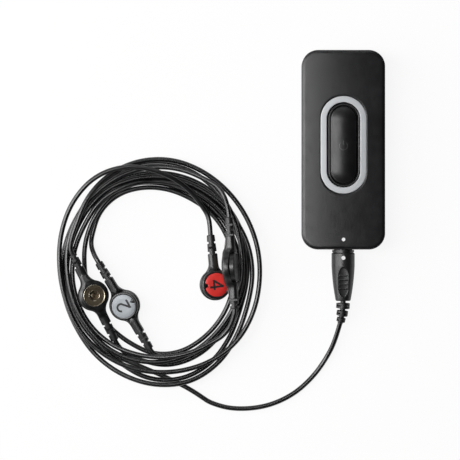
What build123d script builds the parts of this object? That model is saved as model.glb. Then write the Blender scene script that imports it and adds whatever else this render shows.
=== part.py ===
"""Handheld ECG recorder with its plug-in chain of four snap electrode heads.

Millimetres. The recorder lies on its back on the XY plane, with its origin under the middle of the case,
+Z out of its face and +Y towards its top end. The lead set plugs into its bottom end, runs off along the
table and lies coiled at -X.
"""
from build123d import *
from math import atan2, cos, degrees, radians, sin, sqrt, tan
import os

os.makedirs("parts", exist_ok=True)

# Clearances and the overrun of cuts
seat_gap = 0.05
running_gap = 0.05
sliding_gap = 0.2
overrun = 1.0

# Recorder case
case_width = 38.0
case_length = 91.0
case_height = 14.0
case_corner = 7.5
case_edge = 1.6
case_wall = 1.6
split_height = case_height / 2
inner_width = case_width - 2 * case_wall
inner_length = case_length - 2 * case_wall
inner_corner = case_corner - case_wall
inner_top = case_height - case_wall
boss_radius = 2.2
boss_inset = 3.4
boss_x = inner_width / 2 - boss_inset
boss_y = inner_length / 2 - boss_inset
boss_places = [(x, y) for x in (-boss_x, boss_x) for y in (-boss_y, boss_y)]
gasket_width = 0.7
gasket_height = 0.8

# Screws through the back cover
screw_radius = 0.8
screw_bite = 1.5
screw_head_radius = 1.5
screw_head_height = 1.1
screw_recess = 0.3
screw_drive_radius = 0.6
screw_drive_depth = 0.7

# Face: inlaid ring, bezel and event button, all on one middle
face_y = 2.2
ring_outer_width = 20.9
ring_outer_length = 44.5
ring_band = 2.8
ring_depth = 0.6
bezel_width = ring_outer_width - 2 * ring_band
bezel_length = ring_outer_length - 2 * ring_band
bezel_flange = 1.6
bezel_flange_height = 0.9
bezel_dish = 1.2
button_margin = 1.7
button_end_margin = 1.9
button_width = bezel_width - 2 * button_margin
button_length = bezel_length - 2 * button_end_margin
button_rise = 0.6
button_crown = 1.5
button_flange = 1.1
button_flange_height = 0.9
button_travel = 0.4
button_stem_radius = 1.5
dot_radius = 0.85
dot_depth = 0.4
case_dot_y = 4.6 - case_length / 2

# Circuit board and what it carries
board_thickness = 1.0
board_margin = 0.6
board_corner = 2.0
board_bottom = 5.9
board_top = board_bottom + board_thickness
board_width = inner_width - 2 * board_margin
post_radius = 1.2
post_sides = 8
battery_width = 25.0
battery_length = 46.0
battery_height = 3.6
battery_corner = 1.6
tape_height = 0.2
tape_inset = 2.0
switch_size = 6.0
switch_height = 1.7
plunger_radius = 1.3
plunger_sink = 0.8
beeper_radius_share = 0.125
beeper_radius = beeper_radius_share * board_width
beeper_height = 1.9
beeper_port_radius = 0.8
lamp_size_share = 0.048
lamp_x_share = 0.137
lamp_size = lamp_size_share * board_width
lamp_x = lamp_x_share * board_width
lamp_height = 0.6
chip_height = 1.8
passive_length = 2.0
passive_width_share = 0.036
passive_pitch_share = 0.089
passive_width = passive_width_share * board_width
passive_pitch = passive_pitch_share * board_width
passive_height = 0.8
passive_count = 5
# width, length and height of each chip, and its place across and along, as shares of the board and chip_height
chip_shares = {
    "processor_chip": (0.21, 0.10, 0.50, -0.28, 0.00),
    "signal_chip": (0.15, 0.07, 0.44, 0.00, -0.37),
    "memory_chip": (0.24, 0.09, 0.56, 0.32, -0.16),
    "radio_shield": (0.39, 0.14, 1.00, 0.00, 0.41),
}
beeper_share = (-0.33, -0.30)
passive_share = -0.26
post_share = (0.43, 0.40)

# Socket in the bottom end of the case, and the plug in it
axis_height = split_height
case_end = -case_length / 2
socket_radius = 4.95
socket_bore = 4.3
socket_depth = 11.0
socket_back = 2.6
socket_flange = 0.35
socket_flange_length = 1.0
socket_boss_radius = 2.6
socket_boss_length = 5.4
pin_count = 6
pin_ring = 1.55
pin_radius = 0.35
pin_hole_radius = pin_radius + 0.1
pin_reach = 4.6
tail_length = 2.6
tail_gap = 0.3
key_width = 1.2
key_height = 0.3
sleeve_wall = 0.7
sleeve_reach = 7.4
collar_radius = 5.05
collar_gap = 0.25
collar_length = 1.25
plug_radius = 5.3
plug_end_radius = 3.4
plug_straight = 6.5
plug_length = 22.0
plug_edge = 0.5
plug_swell = 0.25
plug_insert_length = 1.6
plug_dot_radius = 0.95
plug_dot_offset = 2.3
grip_length = 14.0
grip_width = 5.4
grip_depth = 0.5
grip_rib_count = 4
grip_rib_pitch = 2.0
grip_rib_width = 0.7
grip_rib_height = 0.3

# Cord of the lead set. It lies coiled in loops, a layer above each other where they cross
cord_radius = 1.1
cord_sides = 6
layer = 2.65
rest_height = cord_radius
coil_x = -84.3
coil_y = -54.9
least_gap_wanted = 0.4
sample_step = 0.6

# Plug's strain relief: rings on a core that already bends towards the coil
relief_core = 1.5
relief_sides = 12
relief_length = 10.5
relief_bend = 21.0
relief_lean = 45.0
# start and length of each ring along the relief, and its radius, all as shares of the relief's length
relief_ring_shares = [(0.08, 0.25, 0.300), (0.42, 0.23, 0.248), (0.75, 0.19, 0.195)]

# Electrode heads
head_radius = 7.1
head_cap_radius = 6.6
head_base = 3.8
head_cap = 2.4
head_edge = 0.5
head_chamfer = 0.7
neck_reach = 14.0
neck_width = 4.4
neck_height = 4.2
neck_flare = 5.0
neck_edge = 0.7
label_radius = 5.4
label_depth = 0.45
label_notch = 1.1
snap_radius = 5.0
snap_flange = 0.5
snap_mouth = 2.25
snap_mouth_length = 1.0
snap_step = 3.9
snap_dish = 0.35
snap_lip = 2.7
snap_barrel = 2.9
snap_depth = 2.1
snap_wall = 0.25
barrel_sides = 16
snap_sides = 24
spring_inner = 2.05
spring_height = 0.3
spring_opening = 60.0
sleeve_sides = 8
sleeve_start_radius = 2.3
sleeve_end_radius = 1.9
sleeve_length = 9.0
middle_sleeve = 7.0
short_sleeve = 5.0
sleeve_web = 2.4
notch_start = 0.4
notch_pitch = 2.3
notch_width = 0.9

board_bottom_y = case_end + socket_depth + tail_length + tail_gap
board_top_y = boss_y - boss_radius - tail_gap
board_length = board_top_y - board_bottom_y
board_middle_y = (board_top_y + board_bottom_y) / 2
post_places = [(x, board_middle_y + y) for x in (-post_share[0] * board_width, post_share[0] * board_width)
               for y in (-post_share[1] * board_length, post_share[1] * board_length)]


def circles_at(sketch_plane, radius, places):
    """Circles of one radius at each of the places, on one plane."""
    with BuildSketch(sketch_plane) as circles:
        with Locations(*places):
            Circle(radius)
    return circles.sketch


def posts_at(sketch_plane, radius, places, pocket=False):
    """Eight-sided outlines for what is hidden: within the radius, or round it for a pocket."""
    with BuildSketch(sketch_plane) as posts:
        with Locations(*places):
            RegularPolygon(radius, post_sides, major_radius=not pocket)
    return posts.sketch


def stadium(sketch_plane, width, length):
    """A slot shape that stands along Y on the middle of the recorder's face."""
    with BuildSketch(sketch_plane) as slot:
        with Locations((0, face_y)):
            SlotOverall(length, width, rotation=90)
    return slot.sketch


def section_area(sides):
    """Area of the cord's faceted section."""
    return sides / 2 * cord_radius ** 2 * sin(radians(360 / sides))


def end_plane(y):
    """Section plane of the socket and plug, whose normal points out of the case's end."""
    return Plane(origin=(0, y, axis_height), x_dir=(1, 0, 0), z_dir=(0, -1, 0))


def write(builder, name):
    """Label a finished piece and write its file."""
    builder.part.label = name
    export_step(builder.part, f"parts/{name}.step")


# Front cover
level_split = Plane.XY.offset(split_height)
with BuildPart() as front_cover:
    with BuildSketch(level_split):
        RectangleRounded(case_width, case_length, case_corner)
    extrude(amount=case_height - split_height)
    fillet(front_cover.faces().sort_by(Axis.Z)[-1].edges(), case_edge)
    with BuildSketch(level_split):
        RectangleRounded(inner_width, inner_length, inner_corner)
    extrude(amount=inner_top - split_height, mode=Mode.SUBTRACT)
    extrude(posts_at(level_split.offset(seat_gap), boss_radius, boss_places), amount=inner_top - split_height)
    extrude(posts_at(level_split, screw_radius, boss_places), amount=screw_bite + sliding_gap, mode=Mode.SUBTRACT)
    extrude(stadium(Plane.XY.offset(case_height - ring_depth), ring_outer_width, ring_outer_length),
            amount=ring_depth + overrun, mode=Mode.SUBTRACT)
    extrude(stadium(Plane.XY.offset(inner_top - overrun), bezel_width, bezel_length),
            amount=case_wall + 2 * overrun, mode=Mode.SUBTRACT)
    with BuildSketch(Plane.XY.offset(case_height - dot_depth)):
        with Locations((0, case_dot_y)):
            Circle(dot_radius)
    extrude(amount=dot_depth + overrun, mode=Mode.SUBTRACT)
    with BuildSketch(end_plane(case_end + case_wall + overrun)):
        Circle(socket_radius + seat_gap)
    extrude(amount=case_wall + 2 * overrun, mode=Mode.SUBTRACT)
write(front_cover, "front_cover")

# Back cover, with its board posts and counterbored screw holes
with BuildPart() as back_cover:
    with BuildSketch(Plane.XY):
        RectangleRounded(case_width, case_length, case_corner)
    extrude(amount=split_height)
    fillet(back_cover.faces().sort_by(Axis.Z)[0].edges(), case_edge)
    with BuildSketch(Plane.XY.offset(case_wall)):
        RectangleRounded(inner_width, inner_length, inner_corner)
    extrude(amount=split_height, mode=Mode.SUBTRACT)
    with BuildSketch(Plane.XY.offset(split_height - gasket_height)):
        RectangleRounded(inner_width + 2 * gasket_width, inner_length + 2 * gasket_width,
                         inner_corner + gasket_width)
    extrude(amount=split_height, mode=Mode.SUBTRACT)
    extrude(posts_at(Plane.XY.offset(case_wall), boss_radius, boss_places), amount=split_height - case_wall)
    extrude(posts_at(Plane.XY.offset(case_wall), post_radius, post_places), amount=board_bottom - case_wall)
    extrude(posts_at(Plane.XY.offset(-overrun), screw_radius + seat_gap, boss_places),
            amount=split_height + 2 * overrun, mode=Mode.SUBTRACT)
    extrude(circles_at(Plane.XY.offset(-overrun), screw_head_radius + seat_gap, boss_places),
            amount=screw_recess + screw_head_height + overrun, mode=Mode.SUBTRACT)
    with BuildSketch(end_plane(case_end + case_wall + overrun)):
        Circle(socket_radius + seat_gap)
    extrude(amount=case_wall + 2 * overrun, mode=Mode.SUBTRACT)
write(back_cover, "back_cover")

# Gasket in the step of the back cover's rim, open where the socket passes
with BuildPart() as cover_gasket:
    with BuildSketch(Plane.XY.offset(split_height - gasket_height)):
        RectangleRounded(inner_width + 2 * (gasket_width - seat_gap), inner_length + 2 * (gasket_width - seat_gap),
                         inner_corner + gasket_width - seat_gap)
        RectangleRounded(inner_width, inner_length, inner_corner, mode=Mode.SUBTRACT)
    extrude(amount=gasket_height)
    extrude(posts_at(Plane.XY, boss_radius + seat_gap, boss_places), amount=case_height, mode=Mode.SUBTRACT)
    with BuildSketch(end_plane(case_end + case_wall + overrun)):
        Circle(socket_radius + sliding_gap)
    extrude(amount=case_wall + 2 * overrun, mode=Mode.SUBTRACT)
write(cover_gasket, "cover_gasket")

# Four cross-driven cover screws
with BuildPart() as cover_screws:
    extrude(circles_at(Plane.XY.offset(screw_recess), screw_head_radius, boss_places), amount=screw_head_height)
    extrude(posts_at(Plane.XY.offset(screw_recess), screw_radius - seat_gap, boss_places),
            amount=split_height - screw_recess + screw_bite)
    with BuildSketch(Plane.XY.offset(screw_recess)):
        with Locations(*boss_places):
            RegularPolygon(screw_drive_radius, 6)
    extrude(amount=screw_drive_depth, mode=Mode.SUBTRACT)
write(cover_screws, "cover_screws")

# Pale ring inlaid round the button
with BuildPart() as button_ring:
    ring_plane = Plane.XY.offset(case_height - ring_depth)
    extrude(stadium(ring_plane, ring_outer_width - 2 * seat_gap, ring_outer_length - 2 * seat_gap),
            amount=ring_depth)
    extrude(stadium(ring_plane, bezel_width, bezel_length), amount=ring_depth + overrun, mode=Mode.SUBTRACT)
write(button_ring, "button_ring")

# Bezel with a dished margin, flanged behind the cover's wall
bezel_bottom = inner_top - seat_gap - bezel_flange_height
with BuildPart() as button_bezel:
    extrude(stadium(Plane.XY.offset(bezel_bottom), bezel_width + 2 * bezel_flange, bezel_length + 2 * bezel_flange),
            amount=bezel_flange_height)
    extrude(stadium(Plane.XY.offset(bezel_bottom), bezel_width - 2 * seat_gap, bezel_length - 2 * seat_gap),
            amount=case_height - bezel_bottom)
    extrude(stadium(Plane.XY.offset(bezel_bottom - overrun), button_width + 2 * sliding_gap,
                    button_length + 2 * sliding_gap),
            amount=case_height - bezel_bottom + 2 * overrun, mode=Mode.SUBTRACT)
    bezel_face = button_bezel.faces().sort_by(Axis.Z)[-1]
    chamfer(bezel_face.inner_wires()[0].edges(), bezel_dish)
write(button_bezel, "button_bezel")

# Event button: crowned pad, retaining flange and stem
flange_top = bezel_bottom - seat_gap
flange_bottom = flange_top - button_flange_height
plunger_top = board_top + switch_height + button_travel + sliding_gap
with BuildPart() as event_button:
    extrude(stadium(Plane.XY.offset(flange_bottom), button_width + 2 * button_flange,
                    button_length + 2 * button_flange), amount=button_flange_height)
    extrude(stadium(Plane.XY.offset(flange_bottom), button_width, button_length),
            amount=case_height + button_rise - flange_bottom)
    fillet(event_button.faces().sort_by(Axis.Z)[-1].edges(), button_crown)
    with BuildSketch(Plane.XY.offset(plunger_top)):
        with Locations((0, face_y)):
            Circle(button_stem_radius)
    extrude(amount=flange_bottom - plunger_top)
write(event_button, "event_button")

# Tact switch: body and the plunger that the stem stands on
with BuildPart() as switch_body:
    with BuildSketch(Plane.XY.offset(board_top)):
        with Locations((0, face_y)):
            Rectangle(switch_size, switch_size)
    extrude(amount=switch_height)
    with BuildSketch(Plane.XY.offset(board_top + switch_height - plunger_sink - button_travel - sliding_gap)):
        with Locations((0, face_y)):
            Circle(plunger_radius + running_gap)
    extrude(amount=switch_height, mode=Mode.SUBTRACT)
write(switch_body, "switch_body")

with BuildPart() as switch_plunger:
    with BuildSketch(Plane.XY.offset(board_top + switch_height - plunger_sink)):
        with Locations((0, face_y)):
            Circle(plunger_radius)
    extrude(amount=plunger_top - board_top - switch_height + plunger_sink)
write(switch_plunger, "switch_plunger")

# Circuit board and its parts
with BuildPart() as circuit_board:
    with BuildSketch(Plane.XY.offset(board_bottom)):
        with Locations((0, board_middle_y)):
            RectangleRounded(board_width, board_length, board_corner)
    extrude(amount=board_thickness)
write(circuit_board, "circuit_board")

for chip_name, (wide, long, high, across, along) in chip_shares.items():
    with BuildPart() as chip:
        with BuildSketch(Plane.XY.offset(board_top)):
            with Locations((across * board_width, board_middle_y + along * board_length)):
                Rectangle(wide * board_width, long * board_length)
        extrude(amount=high * chip_height)
    write(chip, chip_name)

with BuildPart() as board_passives:
    with BuildSketch(Plane.XY.offset(board_top)):
        with Locations((0, board_middle_y + passive_share * board_length)):
            with GridLocations(passive_pitch, passive_length, passive_count, 1):
                Rectangle(passive_width, passive_length)
    extrude(amount=passive_height)
write(board_passives, "board_passives")

beeper_place = (beeper_share[0] * board_width, board_middle_y + beeper_share[1] * board_length)
with BuildPart() as beeper:
    with BuildSketch(Plane.XY.offset(board_top)):
        with Locations(beeper_place):
            Circle(beeper_radius)
    extrude(amount=beeper_height)
    with BuildSketch(Plane.XY.offset(board_top + beeper_height / 2)):
        with Locations(beeper_place):
            Circle(beeper_port_radius)
    extrude(amount=beeper_height, mode=Mode.SUBTRACT)
write(beeper, "beeper")

with BuildPart() as status_lamps:
    with BuildSketch(Plane.XY.offset(board_top)):
        with Locations((-lamp_x, face_y), (lamp_x, face_y)):
            Rectangle(lamp_size, lamp_size)
    extrude(amount=lamp_height)
write(status_lamps, "status_lamps")

# Pouch cell on its adhesive tape
with BuildPart() as battery_tape:
    with BuildSketch(Plane.XY.offset(case_wall)):
        with Locations((0, board_middle_y)):
            Rectangle(battery_width - 2 * tape_inset, battery_length - 2 * tape_inset)
    extrude(amount=tape_height)
write(battery_tape, "battery_tape")

with BuildPart() as battery_cell:
    with BuildSketch(Plane.XY.offset(case_wall + tape_height)):
        with Locations((0, board_middle_y)):
            RectangleRounded(battery_width, battery_length, battery_corner)
    extrude(amount=battery_height)
write(battery_cell, "battery_cell")

# White alignment dot on the case
with BuildPart() as case_dot:
    with BuildSketch(Plane.XY.offset(case_height - dot_depth)):
        with Locations((0, case_dot_y)):
            Circle(dot_radius - seat_gap)
    extrude(amount=dot_depth)
write(case_dot, "case_dot")

# Socket shell: keyed barrel with a flange behind the case's end wall
socket_back_y = case_end + socket_depth
with BuildPart() as socket_shell:
    with BuildSketch(end_plane(socket_back_y)):
        Circle(socket_radius)
    extrude(amount=socket_depth)
    with BuildSketch(end_plane(case_end + case_wall + seat_gap + socket_flange_length)):
        Circle(socket_radius + socket_flange)
    extrude(amount=socket_flange_length)
    with BuildSketch(end_plane(socket_back_y + overrun)):
        Circle(socket_bore)
    extrude(amount=socket_depth + 2 * overrun, mode=Mode.SUBTRACT)
    with BuildSketch(end_plane(case_end + sleeve_reach + sliding_gap)):
        with Locations((0, socket_bore)):
            Rectangle(key_width + 2 * sliding_gap, 2 * (key_height + sliding_gap))
    extrude(amount=sleeve_reach + sliding_gap + overrun, mode=Mode.SUBTRACT)
write(socket_shell, "socket_shell")

# Insulating insert, whose boss takes the plug's pins
pin_places = [(pin_ring * cos(radians(360 * pin / pin_count)), pin_ring * sin(radians(360 * pin / pin_count)))
              for pin in range(pin_count)]
with BuildPart() as socket_insert:
    with BuildSketch(end_plane(socket_back_y)):
        Circle(socket_bore - seat_gap)
    extrude(amount=socket_back)
    with BuildSketch(end_plane(socket_back_y)):
        RegularPolygon(socket_boss_radius, barrel_sides)
    extrude(amount=socket_back + socket_boss_length)
    extrude(posts_at(end_plane(socket_back_y + overrun), pin_hole_radius, pin_places),
            amount=socket_back + socket_boss_length + 2 * overrun, mode=Mode.SUBTRACT)
write(socket_insert, "socket_insert")

with BuildPart() as socket_contacts:
    extrude(posts_at(end_plane(socket_back_y + tail_length), pin_hole_radius - seat_gap, pin_places),
            amount=tail_length + socket_back - seat_gap)
write(socket_contacts, "socket_contacts")

# Plug: keyed sleeve, collar, pin insert and pins
plug_face_y = case_end - collar_gap
plug_start_y = plug_face_y - collar_length
insert_front_y = plug_start_y + plug_insert_length + collar_length
with BuildPart() as plug_sleeve:
    with BuildSketch(end_plane(case_end + sleeve_reach)):
        Circle(socket_bore - running_gap)
        with Locations((0, socket_bore - key_height)):
            Rectangle(key_width, 4 * key_height)
    extrude(amount=sleeve_reach + collar_gap + collar_length)
    with BuildSketch(end_plane(case_end + sleeve_reach + overrun)):
        Circle(socket_bore - running_gap - sleeve_wall)
    extrude(amount=sleeve_reach + collar_gap + collar_length + 2 * overrun, mode=Mode.SUBTRACT)
write(plug_sleeve, "plug_sleeve")

with BuildPart() as plug_collar:
    with BuildSketch(end_plane(plug_face_y)):
        Circle(collar_radius)
        Circle(socket_bore + key_height + seat_gap, mode=Mode.SUBTRACT)
    extrude(amount=collar_length)
write(plug_collar, "plug_collar")

with BuildPart() as plug_insert:
    with BuildSketch(end_plane(insert_front_y)):
        Circle(socket_bore - running_gap - sleeve_wall - seat_gap)
    extrude(amount=insert_front_y - plug_start_y)
    extrude(posts_at(end_plane(insert_front_y + overrun), pin_radius + seat_gap, pin_places),
            amount=insert_front_y - plug_start_y + 2 * overrun, mode=Mode.SUBTRACT)
write(plug_insert, "plug_insert")

with BuildPart() as plug_pins:
    extrude(posts_at(end_plane(insert_front_y + pin_reach), pin_radius, pin_places),
            amount=pin_reach + insert_front_y - plug_start_y)
write(plug_pins, "plug_pins")

# Plug's moulded grip: revolved and tapered, with a thumb recess that follows the taper and ribs across it
plug_end_y = plug_start_y - plug_length
taper_start_y = plug_start_y - plug_straight
taper_middle_y = (taper_start_y + plug_end_y) / 2
taper_middle_radius = (plug_radius + plug_end_radius) / 2 + plug_swell
grip_lean = degrees(atan2(plug_radius - plug_end_radius, plug_length - plug_straight))
grip_plane = Plane(origin=(0, (taper_start_y + plug_end_y) / 2, axis_height + taper_middle_radius - grip_depth),
                   x_dir=(1, 0, 0), z_dir=(0, -sin(radians(grip_lean)), cos(radians(grip_lean))))
with BuildPart() as plug_shell:
    with BuildSketch(Plane.YZ):
        with BuildLine():
            Polyline((plug_start_y, axis_height), (plug_start_y, axis_height + plug_radius - plug_edge),
                     (plug_start_y - plug_edge, axis_height + plug_radius),
                     (taper_start_y, axis_height + plug_radius),
                     (taper_middle_y, axis_height + taper_middle_radius),
                     (plug_end_y, axis_height + plug_end_radius), (plug_end_y, axis_height),
                     (plug_start_y, axis_height))
        make_face()
    revolve(axis=Axis((0, 0, axis_height), (0, 1, 0)))
    with BuildSketch(grip_plane):
        Ellipse(grip_width / 2, grip_length / 2)
    extrude(amount=plug_radius, mode=Mode.SUBTRACT)
    with BuildSketch(grip_plane.offset(-grip_rib_height)):
        with GridLocations(grip_width, grip_rib_pitch, 1, grip_rib_count):
            Rectangle(grip_width / 2, grip_rib_width)
    extrude(amount=2 * grip_rib_height)
    with BuildSketch(Plane.XY.offset(axis_height + plug_radius - dot_depth)):
        with Locations((0, plug_start_y - plug_dot_offset)):
            Circle(plug_dot_radius)
    extrude(amount=dot_depth + overrun, mode=Mode.SUBTRACT)
write(plug_shell, "plug_shell")

with BuildPart() as plug_dot:
    with BuildSketch(Plane.XY.offset(axis_height + plug_radius - dot_depth)):
        with Locations((0, plug_start_y - plug_dot_offset)):
            Circle(plug_dot_radius - seat_gap)
    extrude(amount=dot_depth)
write(plug_dot, "plug_dot")

# Plug's strain relief: rings on a core that bends down and towards the coil
bend_radius = relief_length / radians(relief_bend)
bend_side = Vector(-sin(radians(relief_lean)), 0, -cos(radians(relief_lean)))


def bent(share):
    """Place and heading on the relief's core: an arc that leaves the plug along -Y and leans to bend_side."""
    turn = radians(relief_bend) * share
    place = Vector(0, plug_end_y - bend_radius * sin(turn), axis_height)
    return place + bend_side * bend_radius * (1 - cos(turn)), Vector(0, -cos(turn), 0) + bend_side * sin(turn)


relief_end, relief_heading = bent(1)
with BuildPart() as plug_relief:
    with BuildLine():
        ThreePointArc(bent(0)[0], bent(0.5)[0], relief_end)
    with BuildSketch(end_plane(plug_end_y)):
        RegularPolygon(relief_core, relief_sides)
    sweep()
    for start_share, length_share, radius_share in relief_ring_shares:
        ring_place, ring_heading = bent(start_share)
        with BuildSketch(Plane(origin=ring_place, z_dir=ring_heading)):
            RegularPolygon(radius_share * relief_length, 2 * relief_sides)
        extrude(amount=length_share * relief_length)
write(plug_relief, "plug_relief")

# Free stretch of the main cord: from the relief down to the table and round to the coil
main_route = [
    relief_end, relief_end + relief_heading * 8.5, (-7.4, -95.2, 1.4), (-13.6, -104.0, 1.1), (-23.0, -112.4, 1.1),
    (-35.5, -117.8, 1.1), (-49.8, -118.9, 1.1), (-60.4, -116.1, 1.1), (-65.2, -112.8, 1.1),
]
main_route = [Vector(place) for place in main_route]
corner_radii = []
for before, corner, after in zip(main_route, main_route[1:], main_route[2:]):
    turn = (corner - before).get_angle(after - corner)
    corner_radii.append(0.45 * min((corner - before).length, (after - corner).length)
                        / tan(radians(turn / 2)))
with BuildPart() as main_lead:
    with BuildLine() as lead_line:
        FilletPolyline(*main_route, radius=corner_radii)
    with BuildSketch(Plane(origin=relief_end, z_dir=relief_heading)):
        RegularPolygon(cord_radius, 2 * cord_sides)
    sweep()
write(main_lead, "main_lead")
lead_length = lead_line.wire().length
print("main_lead", round(lead_length, 1), "radii", [round(radius, 1) for radius in corner_radii],
      "volume to section x length", round(main_lead.part.volume / (section_area(2 * cord_sides) * lead_length), 4))


class Head:
    """Frame of one electrode head. Its plane's X runs along the cord and its Z out of the label."""

    def __init__(self, place, lift, along, facing, sleeves):
        axis = Vector(*along).normalized()
        normal = Vector(*facing)
        normal = (normal - axis * normal.dot(axis)).normalized()
        under = head_base if normal.Z > 0 else head_cap
        height = lift + head_radius * sqrt(1 - normal.Z ** 2) + under * abs(normal.Z)
        self.plane = Plane(origin=(*place, height), x_dir=axis, z_dir=normal)
        self.sleeves = dict(zip((-1, 1), sleeves))
        self.start = self.plane.origin - axis * (neck_reach + sleeves[0])
        self.end = self.plane.origin + axis * (neck_reach + sleeves[-1])
        self.heading = axis

    def section(self, reach):
        """Plane across the cord at a reach from the head's middle, facing away from the head."""
        way = self.heading if reach > 0 else -self.heading
        return Plane(origin=self.plane.origin + self.heading * reach, x_dir=self.plane.z_dir, z_dir=way)


# Where the heads lie, as the cord runs: place, lift above the table, way of the cord, way the label faces, and
# length of the reliefs. The first stands on its edge, the third lies with its socket up, the last ends the chain
heads = {
    1: Head((-50.8, -53.6), 4.6, (0.06, -0.998, 0), (0.98, 0.06, 0.19), (sleeve_length, short_sleeve)),
    2: Head((-100.1, -71.2), 0.1, (-0.51, 0.86, 0.04), (-0.12, -0.17, 0.978), (sleeve_length, sleeve_length)),
    3: Head((-114.45, -66.55), 1.95, (-0.44, 0.895, 0.098), (-0.22, 0, -0.975), (sleeve_length, middle_sleeve)),
    4: Head((-58.3, -61.7), 0.1, (0.10, -0.995, 0), (0.21, 0, 0.977), (sleeve_length,)),
}
flare_half = head_radius * (neck_width / 2 + neck_flare) / (head_radius + neck_flare)
flare_x = sqrt((head_radius + neck_flare) ** 2 - (neck_width / 2 + neck_flare) ** 2)
barrel_radius = (snap_barrel + seat_gap) / cos(radians(180 / barrel_sides))


def neck_outline(sketch_plane, ways):
    """Outline of the necks from the cap's edge out, with a flare from each neck to the disc."""
    with BuildSketch(sketch_plane) as outline:
        for way in ways:
            with Locations((way * flare_x / 2, 0)):
                Rectangle(flare_x, 2 * flare_half)
            with Locations((way * flare_x, neck_width / 2 + neck_flare),
                           (way * flare_x, -neck_width / 2 - neck_flare)):
                Circle(neck_flare, mode=Mode.SUBTRACT)
            with Locations((way * neck_reach / 2, 0)):
                Rectangle(neck_reach, neck_width)
        Circle(head_cap_radius + seat_gap, mode=Mode.SUBTRACT)
    return outline.sketch


for number, head in heads.items():
    # Base: lower half of the disc with the necks on it and a pocket for the snap socket
    with BuildPart() as head_base_part:
        extrude(neck_outline(head.plane.offset(-neck_height / 2), head.sleeves), amount=neck_height)
        for way in head.sleeves:
            outward = Axis(head.plane.origin, head.heading * way)
            chamfer(head_base_part.faces().sort_by(outward)[-1].edges(), neck_edge)
        with BuildSketch(head.plane.offset(-head_base)):
            Circle(head_radius)
        extrude(amount=head_base)
        under_face = Axis(head.plane.origin, -head.plane.z_dir)
        chamfer(head_base_part.faces().sort_by(under_face)[-1].outer_wire().edges(), head_chamfer)
        with BuildSketch(head.plane.offset(-head_base - overrun)):
            Circle(snap_radius + seat_gap)
        extrude(amount=snap_flange + seat_gap + overrun, mode=Mode.SUBTRACT)
        with BuildSketch(head.plane.offset(-head_base - overrun)):
            RegularPolygon(barrel_radius, barrel_sides)
        extrude(amount=snap_depth + snap_wall + seat_gap + overrun, mode=Mode.SUBTRACT)
    write(head_base_part, f"head_{number}_base")

    # Cap: upper half, with the recess for the label and the pip that keys it
    with BuildPart() as head_cap_part:
        with BuildSketch(head.plane):
            Circle(head_cap_radius)
        extrude(amount=head_cap)
        chamfer(head_cap_part.faces().sort_by(Axis(head.plane.origin, head.plane.z_dir))[-1].edges(), head_edge)
        with BuildSketch(head.plane.offset(head_cap - label_depth)):
            Circle(label_radius + seat_gap)
            with Locations((0, -label_radius)):
                RegularPolygon(label_notch, 3, rotation=90, mode=Mode.SUBTRACT)
        extrude(amount=label_depth + overrun, mode=Mode.SUBTRACT)
    write(head_cap_part, f"head_{number}_cap")

    with BuildPart() as head_label_part:
        with BuildSketch(head.plane.offset(head_cap - label_depth)):
            Circle(label_radius)
            with Locations((0, -label_radius)):
                RegularPolygon(label_notch + 2 * seat_gap, 3, rotation=90, mode=Mode.SUBTRACT)
        extrude(amount=label_depth - seat_gap)
    write(head_label_part, f"head_{number}_label")

    # Snap socket: turned flange, mouth and the barrel behind it
    with BuildPart() as head_socket_part:
        with BuildSketch(head.plane.offset(-head_base)):
            Circle(snap_radius)
        extrude(amount=snap_flange)
        with BuildSketch(head.plane.offset(-head_base)):
            RegularPolygon(barrel_radius - 2 * seat_gap, barrel_sides)
        extrude(amount=snap_depth + snap_wall)
        with BuildSketch(head.plane.offset(-head_base - overrun)):
            RegularPolygon(snap_step, snap_sides)
            RegularPolygon(snap_lip, snap_sides, mode=Mode.SUBTRACT)
        extrude(amount=snap_dish + overrun, mode=Mode.SUBTRACT)
        with BuildSketch(head.plane.offset(-head_base - overrun)):
            Circle(snap_mouth)
        extrude(amount=snap_mouth_length + overrun, mode=Mode.SUBTRACT)
        with BuildSketch(head.plane.offset(-head_base + snap_mouth_length)):
            RegularPolygon(snap_barrel - snap_wall, barrel_sides)
        extrude(amount=snap_depth - snap_mouth_length, mode=Mode.SUBTRACT)
    write(head_socket_part, f"head_{number}_socket")

    # Open ring spring in the barrel's groove, which grips a stud
    with BuildPart() as head_spring_part:
        with BuildSketch(head.plane.offset(-head_base + snap_mouth_length + seat_gap)):
            RegularPolygon(snap_barrel - snap_wall - seat_gap, barrel_sides)
            RegularPolygon(spring_inner, barrel_sides, major_radius=False, mode=Mode.SUBTRACT)
            with BuildLine():
                gap_side = Line((0, 0), (snap_barrel, snap_barrel * tan(radians(spring_opening / 2))))
                Polyline(gap_side @ 1, (snap_barrel, -snap_barrel * tan(radians(spring_opening / 2))), (0, 0))
            make_face(mode=Mode.SUBTRACT)
        extrude(amount=spring_height)
    write(head_spring_part, f"head_{number}_spring")

    # Strain reliefs on the cord, notched by turns at the sides and from above and below
    with BuildPart() as head_reliefs_part:
        for way, sleeve in head.sleeves.items():
            with BuildSketch(head.section(way * neck_reach)):
                RegularPolygon(sleeve_start_radius, sleeve_sides)
            with BuildSketch(head.section(way * (neck_reach + sleeve))):
                RegularPolygon(sleeve_end_radius, sleeve_sides)
            loft(ruled=True)
            for notch in range(int(sleeve / notch_pitch)):
                webbed = (3 * sleeve_start_radius, sleeve_web)
                with BuildSketch(head.section(way * (neck_reach + notch_start + notch * notch_pitch))):
                    Rectangle(3 * sleeve_start_radius, 3 * sleeve_start_radius)
                    Rectangle(*(reversed(webbed) if notch % 2 else webbed), mode=Mode.SUBTRACT)
                extrude(amount=notch_width, mode=Mode.SUBTRACT)
    write(head_reliefs_part, f"head_{number}_reliefs")

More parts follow.
